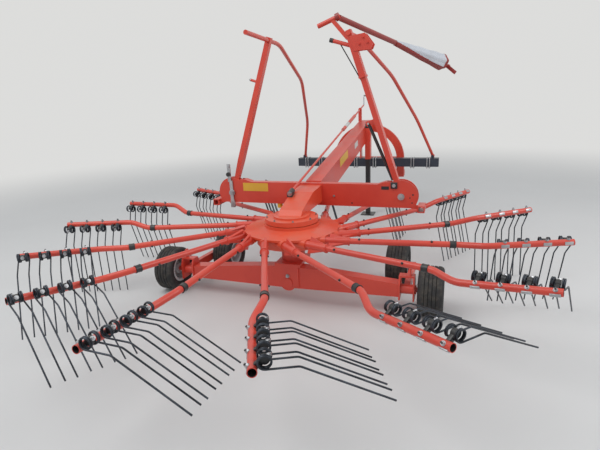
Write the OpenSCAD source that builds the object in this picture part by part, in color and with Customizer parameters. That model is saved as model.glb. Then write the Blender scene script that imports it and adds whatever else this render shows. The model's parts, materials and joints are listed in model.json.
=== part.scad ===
// Mounted single-rotor hay rake with fifteen tine arms, a tandem axle and folding side guards.
// +X is right, +Y is the way it is drawn and +Z is up. The ground is z = 0.
// The rotor axis stands rotor_back behind the origin, which is the middle of the footprint.

/* [Rotor] */
// Number of tine arms
arm_count = 15; // [9:1:15]
// Height of the tine arms above the ground
arm_z = 584; // [575:1:600]
// Distance from the middle of the rotor to the free end of an arm, along the arm
arm_reach = 2048; // [2000:1:2100]
// Sideways offset of an arm's axis from the rotor axis
arm_offset = 236; // [210:1:250]
// Outer diameter of an arm's tube
arm_d = 45; // [42:1:48]
// Direction of the first arm, from +X towards +Y
first_arm_angle = 173.25; // [170:0.25:176]
// Distance along the arm to its black band
band_s = 1270; // [1200:1:1300]
// Where the straight tined end of an arm starts
tined_s = 1514; // [1490:1:1530]
// Sideways set of the tined end of an arm
bend_side = 52; // [46:1:58]
// Upward set of the tined end of an arm
bend_up = 57; // [50:1:62]
// How far the tined end comes back towards the arm's axis
bend_return = 64; // [55:1:70]
// Radius of the dome over the arm bearings
dome_r = 392; // [380:1:400]
// Radius of the step at the top of the dome
dome_step_r = 232; // [226:1:240]
// Radius of the fixed centre column
column_r = 100; // [90:1:105]
// Running clearance of the rotor on its column
column_fit = 0.05; // [0.02:0.01:0.08]

/* [Tines] */
// Number of double tines on each arm
tine_pairs = 4; // [3:1:4]
// Wire diameter of a tine
wire_d = 9.5; // [8:0.5:11]
// Distance between double tines along the arm
tine_pitch = 136; // [132:1:140]
// Outer diameter of a tine's coil
coil_d = 68; // [66:1:72]
// Turns in each coil
coil_turns = 3; // [3:1:3]
// Reach of a tine below the arm's tube
tine_drop = 624; // [600:1:630]

/* [Wheels] */
// Outer diameter of the tyres
tyre_d = 390; // [370:2:400]
// Width of the tyres
tyre_w = 186; // [170:2:190]
// Distance from the middle of the machine to a rear wheel
rear_wheel_x = 1145; // [1140:1:1160]
// Distance of the rear wheels behind the rotor axis
rear_wheel_back = 105; // [95:1:115]
// Distance from the middle of the machine to a front wheel
front_wheel_x = 835; // [820:1:838]
// Distance of the front wheels before the rotor axis
front_wheel_ahead = 400; // [370:1:410]
// Diameter of the wheel axles
axle_d = 40; // [35:1:45]

/* [Frame] */
// Distance of the crossbeam's rear face before the rotor axis
crossbeam_y = 565; // [555:1:580]
// Height of the crossbeam's lower edge
crossbeam_z = 672; // [665:1:690]
// Height of the crossbeam itself
crossbeam_h = 208; // [190:1:215]
// Depth of the crossbeam, front to back
crossbeam_t = 76; // [70:1:90]
// Width of the boom
boom_w = 150; // [140:1:170]
// Depth of the boom's section
boom_h = 232; // [215:1:240]
// Wall of the boom
boom_wall = 8; // [6:1:10]
// Climb of the boom from the crossbeam to the front
boom_rise = 400; // [380:1:420]
// Distance of the front bar's rear face before the rotor axis
front_bar_y = 3175; // [3150:1:3200]
// Half the length of the front bar
front_bar_x = 1036; // [1020:1:1060]
// Height of the front bar's top
front_bar_z = 745; // [735:1:760]

/* [Guards] */
// Distance of a guard's hinge from the middle, at the crossbeam
hinge_x = 829; // [822:1:836]
// Height of the guards' hinges
hinge_z = 772; // [765:1:780]
// Outward splay of a hinge line towards the front
hinge_splay = 2.6; // [2.4:0.1:2.8]
// Inward lean of a folded guard
guard_lean = 18.3; // [16:0.1:19]
// Length of a guard's arm
guard_h = 1475; // [1440:1:1500]
// Diameter of a guard's bow tube
bow_d = 38; // [34:1:42]

/* [Headstock] */
// Distance of the steering axis before the rotor axis
steer_y = 3350; // [3345:1:3365]
// Outer radius of the headstock's arch
arch_r = 530; // [520:1:540]
// Height of the lower link pins
link_z = 480; // [470:1:500]
// Bore of the lower link clevises
link_bore_d = 28.6; // [28.4:0.1:29]
// Bore of the top link clevis
top_bore_d = 25.7; // [25.6:0.1:26]

/* [Hidden] */
$fn = 48;

paint = "#d8402c";
dark_paint = "#a32820";
seat = 0.3;
rotor_back = 779;
wheel_z = tyre_d / 2;

// Tilt of each arm about its own axis, as the cam has it when the rotor stands still
arm_tilt = [0, 15, 49, 65, 75, 78, 78, 64, 33, 11, 0, 0, 0, 0, 0];

// Turns +Z to the direction d
module toward(d) {
    rotate([0, acos(d[2] / norm(d)), atan2(d[1], d[0])]) children();
}

// Round bar from point a to point b
module bar(a, b, r) {
    translate(a) toward(b - a) cylinder(r = r, h = norm(b - a));
}

function unit(v) = v / norm(v);
function turn_of(p, i) = acos(max(-1, min(1, unit(p[i] - p[i - 1]) * unit(p[i + 1] - p[i]))));
function trim_at(p, i, bend) =
    i == 0 || i == len(p) - 1 ? 0 : bend * tan(turn_of(p, i) / 2);

// Round tube along the points p, with each corner bent to the radius bend. A bend is bend_rise
// thicker than the straight lengths, which run into it by bend_lap
bend_rise = 0.3;
bend_lap = 1.5;

module tube(p, r, bend) {
    last = len(p) - 1;
    for (i = [0:last - 1]) {
        u = unit(p[i + 1] - p[i]);
        bar(p[i] + u * (trim_at(p, i, bend) - (i > 0 ? bend_lap : 0)),
            p[i + 1] - u * (trim_at(p, i + 1, bend) - (i + 1 < last ? bend_lap : 0)), r);
    }
    for (i = [1:last - 1]) {
        u = unit(p[i] - p[i - 1]);
        v = unit(p[i + 1] - p[i]);
        c = p[i] + unit(v - u) * bend / cos(turn_of(p, i) / 2);
        x = unit(p[i] - u * trim_at(p, i, bend) - c);
        z = cross(x, u);
        multmatrix([[x[0], u[0], z[0], c[0]], [x[1], u[1], z[1], c[1]], [x[2], u[2], z[2], c[2]]])
            rotate_extrude(angle = turn_of(p, i)) translate([bend, 0]) circle(r = r + bend_rise);
    }
}

// Moves what is drawn about the rotor axis to its place in the part
module at_rotor() {
    translate([0, -rotor_back, 0]) children();
}

// Rotor
bearing_r = 37;
bearing_end_s = 330;
spigot_in = 90;
spigot_fit = 0.1;
dome_edge_z = arm_z + 34;
dome_top_z = arm_z + 84;
drum_r = 300;
drum_z = arm_z - 84;

module at_arm(i) {
    at_rotor()
        rotate([0, 0, first_arm_angle + (i - 1) * 360 / arm_count])
            translate([0, -arm_offset, arm_z])
                children();
}

module rotor_hub() {
    color("#dd4a2e")
    difference() {
        union() {
            at_rotor() rotate_extrude($fn = 96) polygon([
                [column_r + column_fit, drum_z], [drum_r, drum_z], [drum_r, dome_edge_z - 16],
                [dome_r, dome_edge_z - 16], [dome_r, dome_edge_z], [dome_step_r, dome_top_z - 22],
                [dome_step_r, dome_top_z], [column_r + column_fit, dome_top_z]]);
            for (i = [1:arm_count])
                at_arm(i) translate([bearing_end_s - 150, 0, 0])
                    rotate([0, 90, 0]) cylinder(r = bearing_r, h = 150);
        }
        for (i = [1:arm_count])
            at_arm(i) translate([bearing_end_s - spigot_in - 1, 0, 0])
                rotate([0, 90, 0]) cylinder(d = arm_d + 2 * spigot_fit, h = spigot_in + 2);
    }
}

// Tine arm, drawn along +X with its tines down and +Y leading
socket_end_s = 508;
socket_r = 30;
end_side = bend_return - bend_side;
gusset_half = 66;
gusset_s = sqrt(pow(dome_r + 4, 2) - pow(arm_offset - gusset_half, 2));
tined_from = [tined_s - 30, -bend_side, bend_up];
tined_to = [arm_reach, end_side, bend_up - 3];
tined_dir = unit(tined_to - tined_from);
first_tine = 38;
mouth_depth = 26;
coil_from_arm = 68;
coil_angle = -40;
coil_out = coil_d / 2;
coil_in = coil_out - wire_d - 4;
wire_r = wire_d / 2;
coil_len = coil_turns * wire_d;
clamp_w = 26;
clamp_lap = 3;
tine_knee = [56, -190];
tine_lean = -60;
leave_angle = -167;
leave_r = 28;

// Coil of a double tine, round +Z, with a ridge for each turn
module coil() {
    rotate_extrude() polygon(concat(
        [[coil_in, 0]],
        [for (k = [0:coil_turns - 1], q = [[0, -3], [0.3, 0], [0.7, 0], [1, -3]])
            [coil_out + q[1], (k + q[0]) * wire_d]],
        [[coil_in, coil_len]]));
}

module double_tine() {
    coil_at = coil_from_arm * [cos(coil_angle), sin(coil_angle)];
    leave = coil_at + leave_r * [cos(leave_angle), sin(leave_angle)];
    translate([0, coil_at[0], coil_at[1]]) rotate([0, 90, 0]) {
        cylinder(r = coil_in + clamp_lap, h = clamp_w + 2 * clamp_lap, center = true);
        for (side = [0, 1])
            translate([0, 0, side * (clamp_w / 2) - (1 - side) * (clamp_w / 2 + coil_len)]) coil();
    }
    rotate([coil_angle, 0, 0])
        translate([-clamp_w / 2 + clamp_lap, arm_d / 2 - 6, -12])
            cube([clamp_w - 2 * clamp_lap, coil_from_arm - arm_d / 2 + 6, 24]);
    for (side = [-1, 1]) {
        x = side * (clamp_w / 2 + coil_len - wire_r - 1);
        knee = [x, tine_knee[0], tine_knee[1]];
        bar([x, leave[0], leave[1]], knee, wire_r);
        translate(knee) sphere(r = wire_r + 0.25);
        bar(knee, [x, tine_lean, -tine_drop], wire_r);
    }
}

module tine_arm(i) {
    bent = [[bearing_end_s - spigot_in, 0, 0], [band_s + 45, 0, 0], tined_from, tined_to];
    color(paint)
    at_arm(i) rotate([arm_tilt[i - 1], 0, 0]) difference() {
        union() {
            tube(bent, arm_d / 2, 190);
            translate([bearing_end_s + seat, 0, 0]) rotate([0, 90, 0])
                cylinder(r = socket_r, h = socket_end_s - bearing_end_s);
            translate([0, 0, -9]) linear_extrude(18)
                polygon([[gusset_s, -gusset_half], [gusset_s, gusset_half], [socket_end_s, 22],
                         [socket_end_s, -22]]);
            translate([socket_end_s, 0, 0]) rotate([0, 90, 0]) cylinder(r = socket_r + 5, h = 7);
            translate([band_s - 22, 0, 0]) rotate([0, 90, 0]) cylinder(r = arm_d / 2 + 4, h = 44);
            for (k = [0:tine_pairs - 1])
                translate(tined_to - tined_dir * (first_tine + k * tine_pitch)) double_tine();
        }
        translate(tined_to - tined_dir * mouth_depth) toward(tined_dir)
            cylinder(r = arm_d / 2 - 3, h = mouth_depth + 5);
    }
}

// Wheels: name, x, y from the rotor axis
rim_r = 104;
hub_r = 44;
hub_len = 120;
axle_fit = 0.05;
wheel_table = [
    ["rear_left", -rear_wheel_x, -rear_wheel_back], ["rear_right", rear_wheel_x, -rear_wheel_back],
    ["front_left", -front_wheel_x, front_wheel_ahead], ["front_right", front_wheel_x, front_wheel_ahead]];

module at_wheel(w) {
    at_rotor() translate([w[1], w[2], wheel_z]) rotate([0, 90, 0]) children();
}

module tyre(w) {
    shoulder = 34;
    bead = tyre_w / 2 - 26;
    color("#26272a")
    at_wheel(w) rotate_extrude($fn = 96) difference() {
        union() {
            translate([rim_r + seat, -bead]) square([tyre_d / 2 - shoulder - rim_r, 2 * bead]);
            for (s = [-1, 1])
                translate([tyre_d / 2 - shoulder, s * (tyre_w / 2 - shoulder)]) circle(r = shoulder);
            translate([tyre_d / 2 - 2 * shoulder, shoulder - tyre_w / 2])
                square([2 * shoulder, tyre_w - 2 * shoulder]);
            translate([rim_r + 16, shoulder - tyre_w / 2 - 18]) square([40, tyre_w - 2 * shoulder + 36]);
        }
        for (y = [-42, -14, 14, 42])
            translate([tyre_d / 2 - 7, y - 3]) square([10, 6]);
    }
}

module rim(w) {
    color("#c9cbcc")
    at_wheel(w) rotate_extrude($fn = 96) union() {
        translate([axle_d / 2 + axle_fit, -hub_len / 2]) square([hub_r - axle_d / 2, hub_len]);
        translate([hub_r - 2, -6]) square([rim_r - hub_r - 4, 10]);
        translate([rim_r - 12, -tyre_w / 2 + 26]) square([12, tyre_w - 52]);
        for (s = [-1, 1])
            translate([rim_r - 6, s * (tyre_w / 2 - 23) - 3]) square([20, 6]);
    }
}

// Axle
beam_end_x = 905;
beam_y = -rear_wheel_back;
beam_half_t = 50;
block_half = 95;

module axle_beam() {
    color(paint)
    at_rotor() {
        translate([0, beam_y + beam_half_t, 0]) rotate([90, 0, 0]) linear_extrude(2 * beam_half_t) polygon([
            [-beam_end_x, wheel_z - 53], [-block_half, 130], [block_half, 130], [beam_end_x, wheel_z - 53],
            [beam_end_x, wheel_z + 53], [block_half, 320], [-block_half, 320], [-beam_end_x, wheel_z + 53]]);
        translate([0, beam_y + beam_half_t + 12, 0]) rotate([90, 0, 0])
            linear_extrude(2 * beam_half_t + 24) union() {
                translate([-block_half, 150]) square([2 * block_half, 195]);
                translate([0, 178]) circle(r = 70);
            }
        translate([-110, beam_y - 62, 320]) cube([220, 290, 25]);
    }
}

pin_gap = 1;
fork_in = beam_end_x;
fork_out = 1025;
fork_t = 12;

module axle_end(side) {
    color(paint)
    at_rotor() scale_x(side) {
        for (x = [fork_in, fork_out - fork_t])
            translate([x, beam_y, 0]) rotate([90, 0, 90]) linear_extrude(fork_t) polygon([
                [-62, 120], [62, 120], [62, 250], [35, 312], [-35, 312], [-62, 250]]);
        translate([fork_in, beam_y - 35, 300]) cube([fork_out - fork_in, 70, 12]);
        translate([985, beam_y - 20, 300]) cube([12, 40, 85]);
        bar([fork_in + 1, beam_y, wheel_z], [rear_wheel_x + hub_len / 2 + 8, beam_y, wheel_z], axle_d / 2);
    }
}

// Mirrors the right side to the left
module scale_x(side) {
    mirror([side < 0 ? 1 : 0, 0, 0]) children();
}

module front_wheel_arm(side) {
    x_in = fork_in + fork_t + pin_gap;
    x_out = fork_out - fork_t - pin_gap;
    mid = (x_in + x_out) / 2;
    color(paint)
    at_rotor() scale_x(side) difference() {
        union() {
            translate([x_in, beam_y, wheel_z]) rotate([0, 90, 0]) cylinder(r = 38, h = x_out - x_in);
            translate([mid - 22, 0, 0]) rotate([90, 0, 90]) linear_extrude(44) polygon([
                [beam_y, wheel_z - 38], [front_wheel_ahead, wheel_z - 30],
                [front_wheel_ahead, wheel_z + 30], [beam_y + 40, wheel_z + 50], [beam_y, wheel_z + 38]]);
            translate([mid - 22, front_wheel_ahead, wheel_z]) rotate([0, 90, 0]) cylinder(r = 36, h = 44);
            bar([front_wheel_x - hub_len / 2 - 8, front_wheel_ahead, wheel_z],
                [mid, front_wheel_ahead, wheel_z], axle_d / 2);
        }
        translate([x_in - 1, beam_y, wheel_z]) rotate([0, 90, 0])
            cylinder(r = axle_d / 2 + 0.1, h = x_out - x_in + 2);
    }
}

// Centre of the frame
cover_z = dome_top_z + 5;
cover_r = 221;
cover_h = 38;

module centre_column() {
    color(paint)
    at_rotor() translate([0, 0, 345]) cylinder(r = column_r, h = cover_z - 345, $fn = 96);
}

housing_low = cover_z + cover_h + 52;
housing_high = crossbeam_z + crossbeam_h - 26;

module gearbox_housing() {
    top = crossbeam_z + crossbeam_h - 14;
    color("#dd4a2e")
    at_rotor() {
        translate([0, 0, cover_z]) cylinder(r = cover_r, h = cover_h, $fn = 96);
        translate([0, 0, cover_z + cover_h]) cylinder(r = 150, h = 14, $fn = 96);
        translate([-100, 0, 0]) rotate([90, 0, 90]) linear_extrude(200) polygon([
            [-70, cover_z + cover_h], [crossbeam_y, cover_z + cover_h], [crossbeam_y, top],
            [300, housing_high], [-10, housing_low]]);
    }
}

// Crossbeam with a sector-shaped clevis at each end
sector_r = 148;
hinge_pin_r = 12;
cheek_t = 12;
slot_w = crossbeam_t - 2 * cheek_t;

module crossbeam() {
    top = crossbeam_z + crossbeam_h;
    color(paint)
    at_rotor() {
        difference() {
            translate([0, crossbeam_y + crossbeam_t, 0]) rotate([90, 0, 0])
                linear_extrude(crossbeam_t) intersection() {
                    union() {
                        polygon([[-hinge_x, crossbeam_z], [hinge_x, crossbeam_z], [hinge_x, hinge_z],
                                 [hinge_x - 90, top + 24], [hinge_x - 140, top + 24], [620, top],
                                 [-620, top], [140 - hinge_x, top + 24], [90 - hinge_x, top + 24],
                                 [-hinge_x, hinge_z]]);
                        for (s = [-1, 1]) translate([s * hinge_x, hinge_z]) circle(r = sector_r);
                    }
                    translate([-hinge_x - sector_r, crossbeam_z])
                        square([2 * (hinge_x + sector_r), crossbeam_h + 80]);
                }
            for (s = [-1, 1])
                scale_x(s) translate([hinge_x, crossbeam_y + crossbeam_t / 2, crossbeam_z - 1])
                    rotate([0, 0, -hinge_splay]) translate([-130, -slot_w / 2, 0])
                        cube([sector_r + 150, slot_w, 300]);
        }
        for (s = [-1, 1])
            scale_x(s) {
                translate([hinge_x, crossbeam_y + crossbeam_t / 2, hinge_z]) rotate([0, 0, -hinge_splay])
                    rotate([90, 0, 0]) cylinder(r = hinge_pin_r, h = crossbeam_t + 24, center = true);
                translate([hinge_x + 90, crossbeam_y, crossbeam_z - 5])
                    cube([sector_r - 90, cheek_t / 2, 35]);
            }
    }
}

// Open square tube for the mast of a light panel
socket_a = 60;
socket_wall = 8;
socket_len = 150;

module lamp_socket(side) {
    color(paint)
    at_rotor() scale_x(side) translate([hinge_x + sector_r, crossbeam_y - 40, crossbeam_z - 30])
        difference() {
            cube([socket_a, socket_len, socket_a]);
            translate([socket_wall, -1, socket_wall])
                cube([socket_a - 2 * socket_wall, socket_len + 2, socket_a - 2 * socket_wall]);
        }
}

// Boom
boom_y0 = crossbeam_y + crossbeam_t;
boom_y1 = front_bar_y;
boom_top0 = crossbeam_z + crossbeam_h + 8;
function boom_top(y) = boom_top0 + boom_rise * (y - boom_y0) / (boom_y1 - boom_y0);

module boom() {
    color(paint)
    at_rotor() difference() {
        translate([-boom_w / 2, 0, 0]) rotate([90, 0, 90]) linear_extrude(boom_w) polygon([
            [boom_y0, boom_top0 - boom_h], [boom_y1, boom_top(boom_y1) - boom_h],
            [boom_y1, boom_top(boom_y1)], [boom_y0, boom_top0]]);
        translate([boom_wall - boom_w / 2, 0, 0]) rotate([90, 0, 90])
            linear_extrude(boom_w - 2 * boom_wall) polygon([
                [boom_y0 - 1, boom_top0 - boom_h - 60], [boom_y1 + 1, boom_top(boom_y1) - boom_h - 60],
                [boom_y1 + 1, boom_top(boom_y1) - boom_wall], [boom_y0 - 1, boom_top0 - boom_wall]]);
    }
}

head_t = 14;
ear_t = 16;
knuckle_r = 34;
upper_knuckle = [1150, 1215];
lower_knuckle = [660, 725];
steer_r = 16;

module boom_head() {
    back = front_bar_y;
    head_len = 110;
    color(paint)
    at_rotor() {
        for (s = [-1, 1])
            scale_x(s) translate([boom_w / 2 - head_t, back, front_bar_z])
                cube([head_t, head_len, boom_top(boom_y1) - front_bar_z]);
        translate([-boom_w / 2, back, boom_top(boom_y1) - head_t]) cube([boom_w, head_len, head_t]);
        translate([-boom_w / 2, back + head_len - head_t, upper_knuckle[0] - 60])
            cube([boom_w, head_t, boom_top(boom_y1) - upper_knuckle[0] + 60]);
        for (z = [upper_knuckle[0] - ear_t - 1, upper_knuckle[1] + 1])
            translate([0, 0, z]) ear(back + head_len);
        translate([0, steer_y, upper_knuckle[0] - ear_t - 6])
            cylinder(r = steer_r, h = upper_knuckle[1] - upper_knuckle[0] + 2 * ear_t + 12);
        difference() {
            translate([crank_x, back + head_len / 2 + 6, 0]) rotate([90, 0, 0]) linear_extrude(12) union() {
                translate([-24, boom_top(boom_y1) - head_t]) square([48, crank_z(back + head_len / 2)
                    - boom_top(boom_y1) + head_t]);
                translate([0, crank_z(back + head_len / 2)]) circle(r = 24);
            }
            bar(crank_low, crank_high, crank_r + seat);
        }
    }
}

// Flat ear that reaches forward from y to the steering axis
module ear(y) {
    translate([-46, y - 1, 0]) cube([92, steer_y - y + 1, ear_t]);
    translate([0, steer_y, 0]) cylinder(r = 46, h = ear_t);
}

bar_h = 118;
bar_t = 110;
bow_r = bow_d / 2;
bow_end_y = 2660;
bow_pin_r = 10;

module front_bar() {
    z0 = front_bar_z - bar_h;
    color("#2b3442")
    at_rotor() {
        translate([-front_bar_x, front_bar_y, z0]) cube([2 * front_bar_x, bar_t, bar_h]);
        for (z = [lower_knuckle[0] - ear_t - 1, lower_knuckle[1] + 1])
            translate([0, 0, z]) ear(front_bar_y + bar_t);
        translate([0, steer_y, lower_knuckle[0] - ear_t - 6])
            cylinder(r = steer_r, h = lower_knuckle[1] - lower_knuckle[0] + 2 * ear_t + 12);
        for (s = [-1, 1])
            scale_x(s) translate([hinge_x, crossbeam_y + crossbeam_t / 2, hinge_z])
                rotate([0, 0, -hinge_splay]) translate([0, bow_end_y, 0]) {
                    rotate([90, 0, 0]) cylinder(r = bow_pin_r, h = 112, center = true);
                    for (y = [-38, 52]) translate([0, y, 0]) {
                        rotate([90, 0, 0]) cylinder(r = 17, h = 14);
                        translate([-17, -14, front_bar_z - hinge_z - 2]) cube([34, 14, hinge_z - front_bar_z + 2]);
                    }
                }
    }
}

// Height adjusting spindle along the boom
crank_x = -80;
crank_low = [crank_x, 215, 862];
crank_high = [crank_x, 3470, 1488];
crank_r = 11;
barrel_r = 24;
barrel_len = 70;
function crank_z(y) =
    crank_low[2] + (crank_high[2] - crank_low[2]) * (y - crank_low[1]) / (crank_high[1] - crank_low[1]);
function housing_top(y) = housing_low + (housing_high - housing_low) * (y + 10) / 310;

module height_crank() {
    u = unit(crank_high - crank_low);
    color("#b9bbbd")
    at_rotor() {
        bar(crank_low, crank_high, crank_r);
        bar(crank_low + u * 2000, crank_low + u * 2700, 21);
        bar(crank_low - u * 20, crank_low + u * (barrel_len - 20), barrel_r);
        tube([crank_high - u * 2, crank_high + [0, 45, 9], crank_high + [0, 45, 139],
              crank_high + [0, 135, 139]], 9, 24);
    }
}

// Cradle on the housing that carries the spindle's lower end
module crank_foot() {
    y = [crank_low[1] - 15, crank_low[1] + 45];
    color("#2e3033")
    at_rotor() difference() {
        translate([crank_x - 30, 0, 0]) rotate([90, 0, 90]) linear_extrude(50) polygon([
            [y[0], housing_top(y[0]) + seat], [y[1], housing_top(y[1]) + seat],
            [y[1], crank_z(y[1])], [y[0], crank_z(y[0])]]);
        bar(crank_low - unit(crank_high - crank_low) * 40, crank_high, barrel_r + seat);
    }
}

module guard_latch_lever() {
    y = crossbeam_y - 14;
    color("#c4c6c8")
    at_rotor() difference() {
        union() {
            translate([12 - hinge_x - 34, y, 690]) cube([34, 10, 200]);
            translate([-hinge_x - 36, y, 880]) cube([34, 10, 175]);
            translate([-hinge_x - 20, y - 8, 622]) cube([42, 20, 70]);
            translate([-hinge_x, y, hinge_z]) rotate([-90, 0, 0]) cylinder(r = 26, h = 14 - seat);
        }
        translate([-hinge_x, crossbeam_y + crossbeam_t / 2, hinge_z]) rotate([0, 0, hinge_splay])
            rotate([90, 0, 0]) cylinder(r = hinge_pin_r + seat, h = 200, center = true);
    }
}

// Drive input at the front of the crossbeam
input_z = 740;
input_r = 17.4;

module input_shaft() {
    color("#8d9094")
    at_rotor() translate([0, boom_y0 + seat, input_z]) rotate([-90, 0, 0]) {
        cylinder(r = input_r, h = 110);
        cylinder(r = 34, h = 22);
    }
}

// Headstock that steers about a vertical axis before the boom
arch_y = 3452;
arch_t = 62;
arch_band = 108;
arch_z = 690;
arch_foot_z = link_z - 50;
clevis_y = arch_y + arch_t + 46;

module arch_outline(grow) {
    r = arch_r + grow;
    r_in = arch_r - arch_band - grow;
    difference() {
        union() {
            translate([0, arch_z]) circle(r = r, $fn = 96);
            translate([-r, arch_foot_z - grow]) square([2 * r, arch_z - arch_foot_z + grow]);
        }
        translate([0, arch_z]) circle(r = r_in, $fn = 96);
        translate([-r_in, arch_foot_z - 60]) square([2 * r_in, arch_z - arch_foot_z + 60]);
        translate([-r - 10, -100]) square([2 * r + 20, arch_foot_z - grow + 100]);
    }
}

module headstock() {
    color(paint)
    at_rotor() difference() {
        union() {
            translate([0, arch_y + arch_t, 0]) rotate([90, 0, 0]) difference() {
                linear_extrude(arch_t) arch_outline(0);
                translate([0, 0, -1]) linear_extrude(arch_t - 9) arch_outline(-9);
            }
            translate([-arch_r + arch_band - 5, arch_y, lower_knuckle[0] - 20])
                cube([2 * (arch_r - arch_band + 5), arch_t, lower_knuckle[1] - lower_knuckle[0] + 25]);
            for (k = [upper_knuckle, lower_knuckle]) {
                translate([0, steer_y, k[0]]) cylinder(r = knuckle_r, h = k[1] - k[0]);
                translate([-30, steer_y, k[0]]) cube([60, arch_y - steer_y + 2, k[1] - k[0]]);
            }
            for (s = [-1, 1])
                scale_x(s) for (x = [arch_r - arch_band, arch_r - 12])
                    translate([x, arch_y + arch_t - 12, 0]) rotate([90, 0, 90]) linear_extrude(12) union() {
                        translate([0, link_z - 45]) square([clevis_y - arch_y - arch_t + 12, 90]);
                        translate([clevis_y - arch_y - arch_t + 12, link_z]) circle(r = 45);
                    }
            for (x = [-40, 28])
                translate([x, arch_y + 9, 0]) rotate([90, 0, 90]) linear_extrude(12) union() {
                    translate([0, 1112]) square([arch_t + 37, 110]);
                    translate([arch_t + 37, 1167]) circle(r = 55);
                }
        }
        for (k = [upper_knuckle, lower_knuckle])
            translate([0, steer_y, k[0] - 1]) cylinder(r = steer_r + 0.06, h = k[1] - k[0] + 2);
        for (s = [-1, 1])
            scale_x(s) translate([arch_r - arch_band - 2, clevis_y, link_z]) rotate([0, 90, 0])
                cylinder(d = link_bore_d, h = arch_band + 4);
        translate([-50, arch_y + arch_t + 46, 1167]) rotate([0, 90, 0]) cylinder(d = top_bore_d, h = 100);
    }
}

// Parking stand under the front of the boom
stand_x = boom_w / 2;
stand_y = 2790;
stand_tube = 60;

module stand_sleeve() {
    z_top = boom_top(stand_y) - 20;
    color(paint)
    at_rotor() difference() {
        translate([stand_x, stand_y, z_top - 420]) cube([stand_tube + 10, stand_tube + 10, 420]);
        translate([stand_x + 5 - 0.2, stand_y + 5 - 0.2, z_top - 421])
            cube([stand_tube + 0.4, stand_tube + 0.4, 430]);
    }
}

module parking_leg() {
    z_top = boom_top(stand_y) + 40;
    color("#2e3033")
    at_rotor() {
        translate([stand_x + 5, stand_y + 5, 12]) cube([stand_tube, stand_tube, z_top - 12]);
        translate([stand_x + 35 - 90, stand_y + 35 - 90, 0]) cube([180, 180, 12]);
    }
}

// Guards, drawn about their hinge line with +Y along it and +Z along the arm
foot_len = slot_w - 5;
arm_box = 46;

module at_hinge(side) {
    at_rotor() scale_x(side)
        translate([hinge_x, crossbeam_y + crossbeam_t / 2, hinge_z])
            rotate([0, 0, -hinge_splay]) rotate([0, -guard_lean, 0]) children();
}

head_z = guard_h + 150;
head_tube_r = 20;
head_tube_x = [-240, -35];
head_post = [[-25, 0, guard_h - 45], [-105, 0, head_z]];
head_post_w = 32;
sleeve_z = [guard_h - 380, guard_h - 55];
pin_fit = 0.06;

// A bow starts behind the left arm, and at the right arm itself
function bow_path(side) = [
    side > 0 ? [0, -45, guard_h - 12] : [0, -540, guard_h], [0, 300, guard_h - 20],
    [0, 1400, guard_h - 350], [0, 2240, guard_h - 920], [0, bow_end_y, 10]];

// Post and cross tube on the right arm, and the sleeve round its upper half
module guard_head() {
    along = head_post[1] - head_post[0];
    translate(head_post[0]) toward(along)
        translate([-head_post_w / 2, -head_post_w / 2, 0]) cube([head_post_w, head_post_w, norm(along)]);
    translate([head_tube_x[0], 0, head_z]) rotate([0, 90, 0])
        cylinder(r = head_tube_r, h = head_tube_x[1] - head_tube_x[0]);
    translate([-27, -34, sleeve_z[0]]) cube([54, 68, sleeve_z[1] - sleeve_z[0]]);
    translate([-31, -50, sleeve_z[0] - 14]) cube([62, 90, 16]);
}

module guard_arm(side) {
    bow = bow_path(side);
    color(paint)
    at_hinge(side) difference() {
        union() {
            rotate([90, 0, 0]) cylinder(r = 32, h = foot_len, center = true);
            translate([-arm_box / 2, 0, 0]) rotate([90, 0, 90]) linear_extrude(arm_box) polygon([
                [-foot_len / 2, 0], [foot_len / 2, 0], [foot_len / 2, sector_r + 14], [42, 330],
                [28, guard_h - 20], [28, guard_h + 14], [-28, guard_h + 14], [-28, guard_h - 20],
                [-42, 330], [-foot_len / 2, sector_r + 14]]);
            if (side > 0) guard_head();
        }
        rotate([90, 0, 0]) cylinder(r = hinge_pin_r + pin_fit, h = foot_len + 2, center = true);
        bar(bow[0] - [0, 10, 0], bow[0] + (bow[1] - bow[0]) * 0.78, bow_r + seat);
    }
}

module guard_bow(side) {
    color(paint)
    at_hinge(side) difference() {
        union() {
            tube(bow_path(side), bow_r, 900);
            translate([0, bow_end_y, 0]) rotate([90, 0, 0]) cylinder(r = 24, h = 54, center = true);
        }
        translate([0, bow_end_y, 0]) rotate([90, 0, 0])
            cylinder(r = bow_pin_r + pin_fit, h = 56, center = true);
    }
}

// Swath curtain on the head of the right guard, folded along the machine. The sheet is half a cone
// that lies round the bar at its near end and opens upwards and inwards at its far end
curtain_from = [-54, 0, head_z];
curtain_to = [560, 2010, guard_h - 440];
curtain_along = curtain_to - curtain_from;
curtain_r = 24;
sheet_t = 6;
sheet_near_r = curtain_r + seat;
sheet_far_r = 86;
sheet_from = 940;
sheet_len = 1140;
sheet_turn = 145;

module curtain_bar() {
    color(dark_paint)
    at_hinge(1) difference() {
        union() {
            bar(curtain_from, curtain_to, curtain_r);
            translate(curtain_from) rotate([0, 90, 0]) cylinder(r = head_tube_r + 12, h = 30, center = true);
            translate(curtain_from) toward(curtain_along) translate([0, 0, norm(curtain_along) - 50])
                rotate([0, 0, -35]) translate([0, -20, 0]) cube([150, 40, 10]);
        }
        translate(curtain_from) rotate([0, 90, 0]) cylinder(r = head_tube_r + seat, h = 100, center = true);
    }
}

module curtain_sheet() {
    color("#c8ccd2")
    at_hinge(1) translate(curtain_from) toward(curtain_along)
        translate([0, 0, sheet_from]) rotate([0, 0, sheet_turn])
            rotate([0, asin((sheet_far_r - sheet_near_r) / sheet_len), 0]) rotate([0, 0, 90])
                rotate_extrude(angle = 180) polygon([
                    [sheet_near_r, 0], [sheet_near_r + sheet_t, 0], [sheet_far_r + sheet_t, sheet_len],
                    [sheet_far_r, sheet_len]]);
}

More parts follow.
